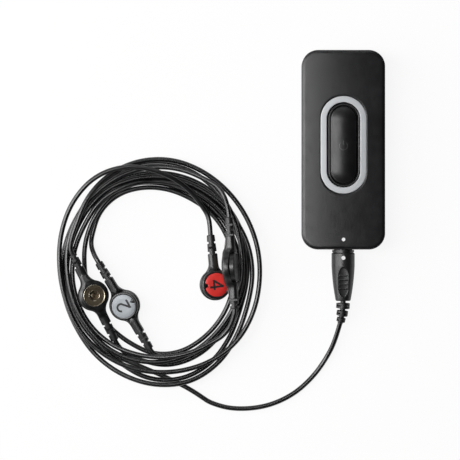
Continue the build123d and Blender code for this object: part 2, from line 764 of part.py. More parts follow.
# Coiled stretches as they lie, from row to row clockwise round the coil's middle: bearing in degrees, radius,
# and layer above the table. Where a bearing comes back the cord has gone once round
coil_routes = {
    "main_coil": [
        (250, 43.8, 0), (190, 43.1, 0), (100, 43.2, 0), (10, 41.2, 0), (325, 42.6, 0.25), (283, 49.8, 1),
        (240, 45.4, 1), (190, 42.8, 1), (100, 44.0, 1), (10, 43.0, 1), (325, 45.2, 1), (280, 53.2, 1),
        (235, 48.6, 1), (190, 45.5, 1), (100, 48.6, 1), (62, 46.9, 2), (10, 38.6, 2), (280, 42.7, 2.2),
        (250, 43.6, 2.05), (190, 41.9, 2), (165, 44.5, 1.96), (130, 45.2, 2), (100, 46.8, 2), (66, 44.9, 2.7),
    ],
    "lead_1": [
        (300, 38.6, 2.7), (268, 39.2, 2.4), (242, 40.9, 1.8), (222, 40.6, 1.15), (190, 39.7, 1), (150, 39.4, 1),
        (100, 41.2, 1), (10, 39.3, 1), (303, 39.6, 0.97),
    ],
    "lead_2": [
        (145, 35.0, 0), (100, 37.4, 0), (10, 34.2, 0), (325, 34.8, 0), (280, 36.5, 0), (200, 33.4, 0),
        (145, 37.7, 0), (100, 40.3, 0), (10, 37.0, 0), (325, 37.7, 0), (290, 39.2, 0), (264, 39.7, 0.1),
    ],
    "lead_3": [
        (146, 42.7, 2.95), (130, 45.9, 3.05), (112, 50.2, 2.2), (85, 51.8, 2), (10, 46.1, 2), (280, 47.2, 2),
        (235, 46.4, 2), (190, 44.9, 2), (168, 47.2, 2), (150, 48.9, 2.3), (120, 51.5, 3.2), (97, 48.2, 3.3),
        (79, 42.6, 2.8), (55, 34.4, 1),
    ],
}
lead_heading = (main_route[-1] - main_route[-2]).normalized()
coil_ends = {
    "main_coil": (main_route[-1], lead_heading, heads[1].start, heads[1].heading),
    "lead_1": (heads[1].end, heads[1].heading, heads[2].start, heads[2].heading),
    "lead_2": (heads[2].end, heads[2].heading, heads[3].start, heads[3].heading),
    "lead_3": (heads[3].end, heads[3].heading, heads[4].start, heads[4].heading),
}


def slopes(travel, values):
    """Rate at each row: harmonic mean of the rates to both sides, none at a crest or a dip."""
    rates = [(after - before) / (end - start)
             for before, after, start, end in zip(values, values[1:], travel, travel[1:])]
    inner = [0 if first * second <= 0 else 2 * first * second / (first + second)
             for first, second in zip(rates, rates[1:])]
    return [rates[0], *inner, rates[-1]]


def stations(rows):
    """Places and headings at a coil's rows."""
    travel = [0]
    for row, next_row in zip(rows, rows[1:]):
        travel.append(travel[-1] + ((row[0] - next_row[0]) % 360 or 360))
    radius_slopes = slopes(travel, [row[1] for row in rows])
    layer_slopes = slopes(travel, [row[2] for row in rows])
    found = []
    for (bearing, radius, level), radius_slope, layer_slope in zip(rows, radius_slopes, layer_slopes):
        outward = Vector(cos(radians(bearing)), sin(radians(bearing)), 0)
        clockwise = Vector(outward.Y, -outward.X, 0)
        place = Vector(coil_x, coil_y, rest_height + layer * level) + outward * radius
        heading = outward * degrees(radius_slope) + clockwise * radius
        found.append((place, (heading + Vector(0, 0, layer * degrees(layer_slope))).normalized()))
    return found


def meeting(start, start_heading, end, end_heading):
    """Where two arcs meet that lead from one place and heading to another."""
    across = end - start
    spread = 2 * (1 - start_heading.dot(end_heading))
    reach = across.dot(start_heading + end_heading)
    step = across.dot(across) / (reach + sqrt(reach ** 2 + spread * across.dot(across)))
    return (start + start_heading * step + end - end_heading * step) / 2


cord_samples = []
for name, rows in coil_routes.items():
    start, start_heading, end, end_heading = coil_ends[name]
    tip = 2 * cord_radius
    places = [(start + start_heading * tip, start_heading), *stations(rows),
              (end - end_heading * tip, end_heading)]
    with BuildPart() as coil:
        with BuildLine() as coil_line:
            Line(start, places[0][0])
            for (here, heading), (there, next_heading) in zip(places, places[1:]):
                middle = meeting(here, heading, there, next_heading)
                first_arc = TangentArc(here, middle, tangent=heading)
                TangentArc(middle, there, tangent=first_arc % 1)
            Line(places[-1][0], end)
        with BuildSketch(Plane(origin=start, z_dir=start_heading)):
            RegularPolygon(cord_radius, cord_sides)
        sweep()
    write(coil, name)
    path = coil_line.wire()
    print(name, "length", round(path.length), "least radius",
          round(min(edge.radius for edge in path.edges() if edge.geom_type == GeomType.CIRCLE), 1),
          "volume to section x length", round(coil.part.volume / (section_area(cord_sides) * path.length), 4))
    count = round(path.length / sample_step)
    for share in range(count + 1):
        place = path @ (share / count)
        cord_samples.append((name, share * sample_step, place.X, place.Y, place.Z))

# Least gap between the stretches, on points along them: those of one cord count beyond six diameters
cell = 2 * cord_radius + 2 * least_gap_wanted
cells = {}
for sample in cord_samples:
    cells.setdefault(tuple(int(value // cell) for value in sample[2:]), []).append(sample)
least_gap = cell
for (i, j, k), members in cells.items():
    near = [other for di in (-1, 0, 1) for dj in (-1, 0, 1) for dk in (-1, 0, 1)
            for other in cells.get((i + di, j + dj, k + dk), [])]
    for name, along, x, y, z in members:
        for other_name, other_along, other_x, other_y, other_z in near:
            if name != other_name or abs(along - other_along) > 12 * cord_radius:
                apart = sqrt((x - other_x) ** 2 + (y - other_y) ** 2 + (z - other_z) ** 2)
                least_gap = min(least_gap, apart - 2 * cord_radius)
print("least gap between stretches", round(least_gap, 2), "wanted", least_gap_wanted)
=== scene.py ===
"""Looks of a handheld ECG recorder with its lead set of four snap electrode heads.

Everything is built in millimetres in the CAD's frame and handed to Blender in metres. Surfaces come from rows of
points that formulas give; each docstring says which.
"""
from math import atan2, ceil, cos, pi, radians, sin, sqrt

import bmesh
import bpy
import numpy as np
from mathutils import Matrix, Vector


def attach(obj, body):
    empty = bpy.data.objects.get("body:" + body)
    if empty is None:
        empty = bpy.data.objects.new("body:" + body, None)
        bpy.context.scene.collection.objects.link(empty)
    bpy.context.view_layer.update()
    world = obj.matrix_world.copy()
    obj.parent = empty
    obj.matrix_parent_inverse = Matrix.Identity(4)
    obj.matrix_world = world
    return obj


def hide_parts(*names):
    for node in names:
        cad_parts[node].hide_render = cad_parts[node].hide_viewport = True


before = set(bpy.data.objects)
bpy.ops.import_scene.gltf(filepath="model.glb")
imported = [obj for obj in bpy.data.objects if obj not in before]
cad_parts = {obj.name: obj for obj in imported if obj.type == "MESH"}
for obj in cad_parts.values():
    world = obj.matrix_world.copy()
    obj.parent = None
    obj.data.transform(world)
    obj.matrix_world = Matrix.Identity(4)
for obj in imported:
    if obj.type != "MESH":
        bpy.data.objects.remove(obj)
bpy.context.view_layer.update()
MM = 0.001


# Camera: straight above the table, at the photograph's framing of 460 pixels with 0.459 mm each
CAMERA_HEIGHT = 1.75
PICTURE_WIDTH = 460 * 0.459 * MM
camera_data = bpy.data.cameras.new("camera")
camera_data.sensor_width = 36
camera_data.lens = camera_data.sensor_width * CAMERA_HEIGHT / PICTURE_WIDTH
camera_data.clip_end = 20
camera = bpy.data.objects.new("camera", camera_data)
camera.location = (-0.05171, -0.03658, CAMERA_HEIGHT)
bpy.context.collection.objects.link(camera)
bpy.context.scene.camera = camera


class Socket:
    """An output of a shader node, with the sums that a material needs."""

    def __init__(self, paint, socket):
        self.paint = paint
        self.socket = socket

    def maths(self, operation, other):
        return self.paint.node("Math", self, other, operation=operation)

    def __add__(self, other):
        return self.maths("ADD", other)

    def __mul__(self, other):
        return self.maths("MULTIPLY", other)

    __radd__ = __add__
    __rmul__ = __mul__

    def between(self, low, high, new_low=0.0, new_high=1.0):
        """This value's range moved to a new one, smoothly and kept within it."""
        return self.paint.node("MapRange", self, low, high, new_low, new_high, interpolation_type="SMOOTHSTEP")


class Paint:
    """A material: one Principled shader, whose colour, roughness and bump may come from nodes."""

    def __init__(self, name, colour, roughness, metallic=0.0, **constants):
        self.material = bpy.data.materials.new(name)
        self.material.use_nodes = True
        self.tree = self.material.node_tree
        self.shader = self.tree.nodes["Principled BSDF"]
        self.shader.inputs["Base Color"].default_value = (*colour, 1)
        self.shader.inputs["Roughness"].default_value = roughness
        self.shader.inputs["Metallic"].default_value = metallic
        for key, value in constants.items():
            self.shader.inputs[key.replace("_", " ")].default_value = value
        self.place = self.node("TexCoord", output="Object")

    def node(self, kind, *inputs, output=0, **settings):
        """Make a node, fill its inputs in order, and return one output. A setting goes to the input of its name, or
        else to the node's property."""
        made = self.tree.nodes.new("ShaderNode" + kind)
        for key, value in settings.items():
            if key in made.inputs:
                self.join(value, made.inputs[key])
            else:
                setattr(made, key, value)
        for value, socket in zip(inputs, [each for each in made.inputs if each.enabled]):
            if value is not None:
                self.join(value, socket)
        return Socket(self, made.outputs[output])

    def join(self, value, socket):
        """Link an output to an input, or write a plain value into it."""
        if isinstance(value, Socket):
            self.tree.links.new(value.socket, socket)
        else:
            socket.default_value = value

    def noise(self, scale, detail, roughness=0.55):
        """Noise between 0 and 1, in the piece's own coordinates."""
        return self.node("TexNoise", output="Fac", Vector=self.place, Scale=scale, Detail=detail,
                         Roughness=roughness)

    def mix(self, factor, first, second):
        """Colour between two colours."""
        made = self.tree.nodes.new("ShaderNodeMix")
        made.data_type = "RGBA"
        self.join(factor, made.inputs[0])
        for colour, socket in ((first, made.inputs[6]), (second, made.inputs[7])):
            self.join(colour if isinstance(colour, Socket) else (*colour, 1), socket)
        return Socket(self, made.outputs[2])

    def colour(self, value):
        self.join(value, self.shader.inputs["Base Color"])

    def rough(self, value):
        self.join(value, self.shader.inputs["Roughness"])

    def bump(self, height, distance):
        """Bump from a height between 0 and 1, where 1 stands a distance in metres proud."""
        self.join(self.node("Bump", Strength=1.0, Distance=distance, Height=height), self.shader.inputs["Normal"])


def moulded(name, colour, roughness, grain, depth, tint, metallic=0.0, **constants):
    """Moulded plastic or rubber: slow tone changes, handling marks in the gloss and a fine sparked grain."""
    paint = Paint(name, colour, roughness, metallic, **constants)
    slow = paint.noise(60.0, 4.0)
    fine = paint.noise(grain, 2.0)
    light = tuple(min(1.0, c * (1 + tint) + 0.002) for c in colour)
    dark = tuple(c * (1 - tint) for c in colour)
    paint.colour(paint.mix(slow.between(0.3, 0.7), dark, light))
    marks = paint.noise(240.0, 5.0, 0.65).between(0.42, 0.7)
    paint.rough(roughness - 0.03 + 0.07 * slow + 0.05 * marks)
    paint.bump(fine, depth)
    return paint


# Colour, roughness, grain's scale and depth, tint: the blacks are as dark as the photograph's
paints = {
    "case": moulded("case_soft_touch", (0.0040, 0.0040, 0.0050), 0.33, 2600, 0.000010, 0.18),
    "button": moulded("button_soft_touch", (0.0045, 0.0045, 0.0052), 0.34, 3000, 0.000006, 0.15,
                     Specular_IOR_Level=0.4),
    "bezel": moulded("bezel_satin", (0.0050, 0.0050, 0.0056), 0.34, 3000, 0.000005, 0.15),
    "symbol": moulded("symbol_gloss", (0.030, 0.030, 0.032), 0.28, 3000, 0.000003, 0.1),
    "ring": moulded("ring_silver_lacquer", (0.50, 0.515, 0.53), 0.36, 5200, 0.000006, 0.05, metallic=0.12),
    "plug": moulded("plug_soft_touch", (0.0055, 0.0055, 0.0062), 0.38, 1900, 0.000016, 0.2,
                    Specular_IOR_Level=0.65),
    "relief": moulded("relief_elastomer", (0.0050, 0.0050, 0.0055), 0.42, 3200, 0.000008, 0.25,
                      Specular_IOR_Level=0.65),
    "cord": moulded("cord_jacket", (0.0020, 0.0020, 0.0024), 0.27, 4500, 0.000003, 0.3,
                    Specular_IOR_Level=0.72),
    "head": moulded("head_satin", (0.0032, 0.0032, 0.0036), 0.34, 3600, 0.000006, 0.2,
                    Specular_IOR_Level=0.75),
    "label_grey": moulded("label_grey", (0.36, 0.385, 0.41), 0.45, 4200, 0.000008, 0.06),
    "label_red": moulded("label_red", (0.72, 0.030, 0.024), 0.42, 4200, 0.000008, 0.08),
    "label_dark": moulded("label_dark", (0.05, 0.05, 0.052), 0.45, 4200, 0.000008, 0.1),
    "ink": moulded("label_ink", (0.010, 0.010, 0.011), 0.5, 3000, 0.000003, 0.1),
    "dot": moulded("dot_white", (0.86, 0.86, 0.86), 0.4, 4200, 0.000004, 0.02),
    "gasket": moulded("seal_rubber", (0.022, 0.022, 0.022), 0.6, 1500, 0.000012, 0.2),
    "board": moulded("board_mask", (0.018, 0.11, 0.05), 0.35, 1800, 0.000008, 0.3),
    "chip": moulded("chip_epoxy", (0.022, 0.022, 0.024), 0.5, 3600, 0.000006, 0.2),
    "tan": moulded("passive_ceramic", (0.30, 0.21, 0.12), 0.4, 3000, 0.000004, 0.3),
    "clear": moulded("lamp_lens", (0.70, 0.71, 0.62), 0.18, 900, 0.000003, 0.1),
    "grey": moulded("switch_grey", (0.07, 0.07, 0.075), 0.45, 2600, 0.000008, 0.15),
    "white": moulded("tape_foam", (0.72, 0.72, 0.69), 0.7, 1500, 0.00002, 0.08),
}


def metal(name, colour, roughness, dark, tone=0.5, depth=0.000018):
    """Plated metal: fine turned lines round the piece from its own radius, tarnish in slow patches."""
    paint = Paint(name, colour, roughness, metallic=1.0)
    slow = paint.noise(380.0, 4.0)
    radius = paint.node("Attribute", output="Fac", attribute_name="turn")
    turned = paint.node("TexNoise", output="Fac", noise_dimensions="1D", W=radius * 5200.0, Scale=1.0, Detail=2.0)
    paint.colour(paint.mix(slow.between(0.35, 0.65, 0, tone), colour, dark))
    paint.rough(roughness - 0.08 + 0.16 * turned + 0.08 * slow)
    paint.bump(turned, depth)
    return paint


# The snap's nickel in two copies: the darker one is painted shade, for the dish, well and springs; the lighter one is
# a painted highlight, for the rim and mouth
paints["nickel"] = metal("snap_nickel", (0.22, 0.18, 0.125), 0.38, (0.12, 0.095, 0.065), 0.8, 0.000004)
paints["lit_nickel"] = metal("nickel_painted_highlight", (0.74, 0.68, 0.56), 0.24, (0.50, 0.43, 0.32), 0.6, 0.000004)
paints["steel"] = metal("zinc_steel", (0.56, 0.57, 0.58), 0.34, (0.35, 0.34, 0.33))
paints["dark_metal"] = metal("black_nickel", (0.10, 0.10, 0.105), 0.35, (0.05, 0.05, 0.05))
paints["gold"] = metal("gold_flash", (0.83, 0.62, 0.28), 0.25, (0.55, 0.38, 0.16))
paints["foil"] = metal("pouch_foil", (0.66, 0.67, 0.69), 0.36, (0.5, 0.5, 0.52))


def link(thing, paint, body, replaces):
    """Put a finished object in the scene, on its body and in its material slot."""
    bpy.context.collection.objects.link(thing)
    thing.data.materials.append(paints[paint].material)
    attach(thing, body)
    if replaces:
        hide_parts(*replaces)


def surface(name, rows, paint, body, replaces=(), caps=(True, True), sharp=40.0, turn=None, pocket=None):
    """Skin over rows of points in mm, each row closed on itself and joined to the next; ends capped flat.

    turn gives each point's distance from its axis in mm, for the turned lines of a metal. pocket is two loops in
    mm, the mouth and floor of a hole in the first end, which is filled round it."""
    rows = np.asarray(rows, float)
    count, around, _ = rows.shape
    index = np.arange(count * around).reshape(count, around)
    after = np.roll(index, -1, axis=1)
    quads = np.stack([index[:-1], after[:-1], after[1:], index[1:]], -1).reshape(-1, 4)
    faces = quads.tolist()
    if caps[0]:
        faces.append(index[0][::-1].tolist())
    if caps[1]:
        faces.append(index[-1].tolist())
    mesh = bpy.data.meshes.new(name)
    mesh.from_pydata((rows.reshape(-1, 3) * MM).tolist(), [], faces)
    if turn is not None:
        layer = mesh.attributes.new("turn", "FLOAT", "POINT")
        layer.data.foreach_set("value", (np.asarray(turn, float).reshape(-1) * MM).astype(np.float32))
    work = bmesh.new()
    work.from_mesh(mesh)
    bmesh.ops.remove_doubles(work, verts=work.verts, dist=1e-7)
    if pocket is not None:
        rim = [edge for edge in work.edges if edge.is_boundary]
        mouth, bottom = [[work.verts.new(point * MM) for point in loop] for loop in pocket]
        for a, b, c, d in zip(mouth, mouth[1:] + mouth[:1], bottom[1:] + bottom[:1], bottom):
            work.faces.new((a, b, c, d))
            rim.append(work.edges.get((a, b)))
        bmesh.ops.triangle_fill(work, edges=rim, use_beauty=True)
    bmesh.ops.recalc_face_normals(work, faces=work.faces)
    work.to_mesh(mesh)
    work.free()
    mesh.shade_smooth()
    mesh.set_sharp_from_angle(angle=radians(sharp))
    link(bpy.data.objects.new(name, mesh), paint, body, replaces)


def unit(values):
    """The same direction with a length of 1."""
    values = np.asarray(values, float)
    return values / np.linalg.norm(values)


def rounded(width, length, corner, middle=(0.0, 0.0), around=192, straight=0):
    """Outline of a rectangle with round corners, counterclockwise, with a number of points on each straight."""
    quarter = around // 4
    points = []
    for k, (sx, sy) in enumerate(((1, 1), (-1, 1), (-1, -1), (1, -1))):
        angles = radians(90) * (k + np.arange(quarter) / (quarter - 1))
        points.append(np.stack([middle[0] + sx * (width / 2 - corner) + corner * np.cos(angles),
                                middle[1] + sy * (length / 2 - corner) + corner * np.sin(angles)], -1))
    parts = []
    for quarter_points, after in zip(points, points[1:] + points[:1]):
        shares = np.linspace(0, 1, straight + 2)[1:-1, None]
        parts += [quarter_points, quarter_points[-1] + (after[0] - quarter_points[-1]) * shares]
    return np.concatenate(parts)


def level(outline, height):
    """An outline lifted to a height, which may differ from point to point."""
    return np.concatenate([outline, np.broadcast_to(np.reshape(height, (-1, 1)), (len(outline), 1))], -1)


def edge_round(radius, steps=6):
    """(inset, rise) along a quarter-round edge, from the wall to the face."""
    return [(radius * (1 - cos(a)), radius * sin(a)) for a in np.linspace(0, pi / 2, steps + 1)]


# Recorder. A pair is the width and length of an outline round the button.
case_width, case_length, case_corner, case_edge, case_top = 38.0, 91.0, 7.5, 1.6, 14.0
case_crown, case_split = 1.0, 7.0
button_middle = (0.0, 2.2)
ring_recess, ring_outside, ring_inside, ring_floor = (20.9, 44.5), (20.8, 44.4), (15.3, 38.9), 13.0
bezel_flange, bezel_outside, bezel_inside = (18.3, 41.9), (15.2, 38.8), (12.3, 35.5)
button_flange, button_edge, button_top = (14.1, 37.3), (11.9, 35.1), 14.6
pad_half, pad_curve, pad_round = 5.95, 15.0, 0.45


def face_height(outline):
    """Height of the front cover's face at an outline's points: a crown across it and a slight fall to the ends."""
    across, along = outline[:, 0] / (case_width / 2), outline[:, 1] / (case_length / 2)
    return case_top - case_crown * across ** 2 - 0.04 * along ** 4


def stadium(size, inset=0.0, straight=0):
    """Outline round the button, two half circles on straight sides, drawn in by an inset."""
    width, length = size[0] - 2 * inset, size[1] - 2 * inset
    return rounded(width, length, width / 2, button_middle, straight=straight)


def front_cover():
    """Outer wall, quarter-round edge, crowned face, and the step down to the opening under the bezel."""
    def wall(inset):
        return rounded(case_width - 2 * inset, case_length - 2 * inset, case_corner - inset, straight=24)

    rows = [level(wall(1.6), case_split), level(wall(0.15), case_split), level(wall(0), case_split + 0.18)]
    rows += [level(wall(0), z) for z in (9.0, 11.0)]
    for inset, rise in edge_round(case_edge, 8):
        outline = wall(inset)
        drop = (case_top - face_height(outline)) * rise / case_edge
        rows.append(level(outline, case_top - case_edge + rise - drop))
    edge, rim = rows[-1][:, :2], stadium(ring_recess, -0.15, 24)
    for share in np.linspace(0.04, 1, 24):
        between = edge + (rim - edge) * share
        rows.append(level(between, face_height(between)))
    rim, opening = stadium(ring_recess, 0, 24), stadium(ring_inside, 0, 24)
    rows.append(level(rim, face_height(rim) - 0.12))
    rows += [level(rim, ring_floor), level(opening, ring_floor), level(opening, 12.4)]
    surface("front_shell", rows, "case", "recorder", ["front_cover"], (False, False), 50)


def button_ring():
    """Flat inlaid band with a fine round on both edges."""
    rim = stadium(ring_outside)
    rows = [level(rim, ring_floor), level(rim, face_height(rim) - 0.06)]
    for size, inset, rise in ((ring_outside, 0.05, 0.0), (ring_outside, 0.15, 0.03), (ring_outside, 0.5, 0.04),
                              (ring_inside, -0.4, 0.04), (ring_inside, -0.12, 0.03), (ring_inside, 0.0, -0.05)):
        outline = stadium(size, inset)
        rows.append(level(outline, face_height(outline) + rise))
    rows += [level(stadium(ring_inside), ring_floor), rows[0]]
    surface("ring_inlay", rows, "ring", "recorder", ["button_ring"], (False, False), 50)


def button_bezel():
    """Margin round the button, a shallow channel: half a sine below the line from the ring to the button's gap."""
    flange, rim, gap = stadium(bezel_flange), stadium(bezel_outside), stadium(bezel_inside)
    rows = [level(flange, 11.5), level(flange, 12.3), level(rim, 12.35), level(rim, 13.6)]
    for share in np.linspace(0, 1, 13):
        outline = stadium(bezel_outside, 0.06 + 1.34 * share)
        rows.append(level(outline, face_height(rim) - 0.05 - 0.5 * sin(pi * share) - 0.25 * share))
    rows += [level(gap, 13.3), level(gap, 11.5), rows[0]]
    surface("bezel_dish", rows, "bezel", "recorder", ["button_bezel"], (False, False), 50)


def pad_height(inset):
    """Height of the button's pad at an inset from its edge: an arc of radius pad_curve with a round of pad_round."""
    distance = min(pad_half - inset, pad_half - pad_round)
    height = button_top - pad_curve + sqrt(pad_curve ** 2 - distance ** 2)
    return height - pad_round * (1 - sqrt(max(0, 1 - (1 - min(inset / pad_round, 1)) ** 2)))


def event_button():
    """Crowned pad of pad_height over the stadium, with its skirt and retaining flange below."""
    flange, edge = stadium(button_flange), stadium(button_edge)
    rows = [level(flange, 10.5), level(flange, 11.4), level(edge, 11.42), level(edge, 12.9)]
    for inset in (0.0, 0.01, 0.04, 0.09, 0.16, 0.25, 0.35, pad_round, *np.linspace(0.8, 5.9, 16)):
        rows.append(level(stadium(button_edge, inset), pad_height(inset)))
    surface("button_pad", rows, "button", "event_button", ["event_button"], (True, True), 60)


def band(path, half):
    """Rows of (x, y, share of its height) across a band that follows a path: a flat top with round shoulders."""
    path = np.array(path, float)
    along = np.gradient(path, axis=0)
    side = np.stack([-along[:, 1], along[:, 0]], -1) / np.linalg.norm(along, axis=1)[:, None]
    return np.array([[(*(place + across * half * x), z) for x, z in
                      ((-1, -2), (-0.9, 0.6), (-0.5, 1), (0.5, 1), (0.9, 0.6), (1, -2))]
                     for place, across in zip(path, side)])


def arc(x, y, radius, start, end, count=25):
    """Points of a circle's arc from a bearing to another, in degrees counterclockwise from x."""
    return [(x + radius * cos(a), y + radius * sin(a)) for a in np.linspace(radians(start), radians(end), count)]


def power_symbol():
    """Generic on/off sign, moulded 0.06 mm proud of the pad: most of a circle, and a bar in its gap."""
    circle = arc(0, 1.75, 1.85, 128, 412, 49)
    bar = [(0.0, y) for y in np.linspace(2.2, 4.2, 9)]
    for number, path in enumerate((circle, bar)):
        rows = band(path, 0.22)
        pad = [[pad_height(pad_half - abs(x)) for x in row] for row in rows[..., 0]]
        rows[..., 2] = np.array(pad) + 0.06 * rows[..., 2]
        surface(f"power_sign_{number}", rows, "symbol", "event_button")


front_cover()
button_ring()
button_bezel()
event_button()
power_symbol()


class Frame:
    """A local frame in mm: x runs along the cord, z out of the label."""

    def __init__(self, origin, along, facing):
        self.origin = np.asarray(origin, float)
        self.x = unit(along)
        facing = np.asarray(facing, float)
        self.z = unit(facing - self.x * (facing @ self.x))
        self.y = np.cross(self.z, self.x)

    def put(self, points):
        """Points of this frame in the CAD's frame."""
        points = np.asarray(points, float)
        return self.origin + points[..., :1] * self.x + points[..., 1:2] * self.y + points[..., 2:] * self.z

    def at(self, reach):
        """Place on the x axis at a reach from the origin."""
        return self.origin + self.x * reach


def turned(name, place, profile, paint, body, slot, replaces, sides=96, caps=(True, True), sharp=35.0):
    """Lathe round a frame's z: a profile of (radius, height) points turned through a full circle."""
    angles = np.linspace(0, 2 * pi, sides, endpoint=False)
    rows = [np.stack([r * np.cos(angles), r * np.sin(angles), np.full(sides, z)], -1) for r, z in profile]
    turn = [[r] * sides for r, _ in profile]
    surface(name, place.put(rows), paint, body, replaces, caps, sharp, turn)


def strain_relief(name, places, radii, replaced, up=(0, 0, 1)):
    """Relief along places: radii[i, k] is its radius at place i and at angle k, from the side towards up."""
    places = np.asarray(places, float)
    along = np.gradient(places, axis=0)
    along /= np.linalg.norm(along, axis=1)[:, None]
    side = np.cross(along, np.asarray(up, float))
    side /= np.linalg.norm(side, axis=1)[:, None]
    high = np.cross(side, along)
    angles = np.linspace(0, 2 * pi, radii.shape[1], endpoint=False)
    rows = (places[:, None] + radii[..., None] * (np.cos(angles)[None, :, None] * side[:, None]
                                                 + np.sin(angles)[None, :, None] * high[:, None]))
    surface(name, rows, "relief", "lead_set", [replaced], (True, True), 50)


def smooth(value, low, high):
    """Smooth step from 0 at low to 1 at high."""
    share = np.clip((np.asarray(value, float) - low) / (high - low), 0, 1)
    return share * share * (3 - 2 * share)


# Plug. Distances along it run from the front of its grip towards -Y.
axis_height, plug_start, plug_length = 7.0, -47.0, 22.0
thumb_middle, thumb_reach, thumb_half = 13.4, 7.0, 2.72


def plug_radius(along):
    """Radius of the grip at a distance along it: straight for 6 mm, then a taper with a slight swell."""
    share = np.clip((along - 6.0) / 16.0, 0, 1)
    return 5.3 - 1.9 * (0.75 * share + 0.25 * share ** 2) + 0.18 * np.sin(pi * share)


def plug_grip():
    """Lathe of plug_radius, whose top is pressed in to a leaning plane within an ellipse, with ribs across it."""
    angles = np.linspace(0, 2 * pi, 144, endpoint=False)
    rows = []
    for along in (*np.linspace(0, 0.5, 5), *np.linspace(0.8, 21.2, 150), *np.linspace(21.4, plug_length, 6)):
        radius = plug_radius(along)
        radius -= 0.35 * (1 - min(along / 0.5, 1)) ** 2 + 0.3 * max(0, (along - 21.5) / 0.5) ** 2
        x = radius * np.cos(angles)
        z = radius * np.sin(angles)
        # Floor of the thumb recess, rising to its sides, and the ribs on it
        floor = plug_radius(along) - 0.95 + 0.35 * (x / 2.7) ** 2
        wanted = np.minimum(z, floor)
        for middle in (-3.0, -1.0, 1.0, 3.0):
            rib = smooth(0.38 - abs(along - thumb_middle - middle), 0, 0.3) * smooth(1.95 - np.abs(x), 0.0, 0.3)
            wanted = wanted + 0.16 * rib
        inside = 1 - (x / thumb_half) ** 2 - ((along - thumb_middle) / thumb_reach) ** 2
        pressed = np.where(z > 0, smooth(inside, 0.0, 0.11), 0)
        z = z + (np.minimum(wanted, z) - z) * pressed
        rows.append(np.stack([x, np.full(len(x), plug_start - along), axis_height + z], -1))
    surface("plug_grip", rows, "plug", "lead_set", ["plug_shell"], (True, True), 50)


plug_grip()
collar = [(4.4, 45.72), (4.97, 45.72), (5.05, 45.8), (5.05, 46.6), (4.98, 46.68), (4.72, 46.7), (4.72, 47.05),
          (4.4, 47.05)]
turned("plug_ring", Frame((0, 0, axis_height), (1, 0, 0), (0, -1, 0)), collar, "plug", "lead_set", "plug_black",
       ["plug_collar"], caps=(False, False))

# Strain relief of the plug, whose core bends by 21 degrees to the left and down
relief_length, relief_core = 10.5, 1.22
relief_bend = relief_length / radians(21)
relief_side = np.array([-sin(radians(45)), 0, -cos(radians(45))])


def bent(length):
    """Place on the plug relief's core: an arc that leaves the plug along -Y and leans to relief_side."""
    turn = length / relief_bend
    return (np.array([0, plug_start - plug_length - relief_bend * sin(turn), axis_height])
            + relief_side * relief_bend * (1 - cos(turn)))


def plug_relief():
    """Three blocks on a core, each with rounded ends and a slot half way along, cut from both sides."""
    lengths = np.linspace(-0.3, relief_length, 260)
    angles = np.linspace(0, 2 * pi, 96, endpoint=False)
    across = np.abs(np.cos(angles))
    radii = np.full((len(lengths), len(angles)), relief_core)
    for start, size, radius in ((0.8, 2.75, 3.12), (4.3, 2.6, 2.62), (7.65, 2.1, 2.02)):
        away = np.abs(lengths - (start + size / 2))
        near = np.clip((size / 2 - away) / 0.3, 0, 1)
        block = relief_core + (radius - relief_core) * np.sqrt(1 - (1 - near) ** 2)
        slot = smooth(0.3 - away, 0, 0.1)[:, None] * (
            smooth(across - 0.3, 0, 0.1) * smooth(0.93 - across, 0, 0.06))[None]
        radii = np.maximum(radii, block[:, None] - slot * (radius - 1.5) * (near[:, None] > 0))
    radii[:4] = 3.0  # the relief's root, inside the grip
    strain_relief("plug_strain_relief", [bent(length) for length in lengths], radii, "plug_relief")


plug_relief()

# Electrode heads, at the places that the CAD gives them. NECK is a neck's reach from the head's middle, and
# FLARE the radius of the arcs on which it leaves the disc.
HEAD_RADIUS, BASE, CAP, LABEL_TOP = 7.1, 3.8, 2.4, 2.345
NECK, NECK_HALF, NECK_HALF_HEIGHT, FLARE = 14.0, 2.2, 2.1, 5.0


def head_frame(place, lift, along, facing):
    """Frame of a head whose lowest edge lies at a lift above the table."""
    made = Frame((*place, 0), along, facing)
    under = BASE if made.z[2] > 0 else CAP
    made.origin[2] = lift + HEAD_RADIUS * sqrt(1 - made.z[2] ** 2) + under * abs(made.z[2])
    return made


# Place, lift, way of the cord and facing of the label, then the lengths of the reliefs
heads = {
    1: (head_frame((-50.8, -53.6), 4.6, (0.06, -0.998, 0), (0.98, 0.06, 0.19)), (9.0, 5.0)),
    2: (head_frame((-100.1, -71.2), 0.1, (-0.51, 0.86, 0.04), (-0.12, -0.17, 0.978)), (9.0, 9.0)),
    3: (head_frame((-114.45, -66.55), 1.95, (-0.44, 0.895, 0.098), (-0.22, 0, -0.975)), (9.0, 7.0)),
    4: (head_frame((-58.3, -61.7), 0.1, (0.10, -0.995, 0), (0.21, 0, 0.977)), (9.0,)),
}
labels = {1: "label_dark", 2: "label_grey", 3: "label_dark", 4: "label_red"}


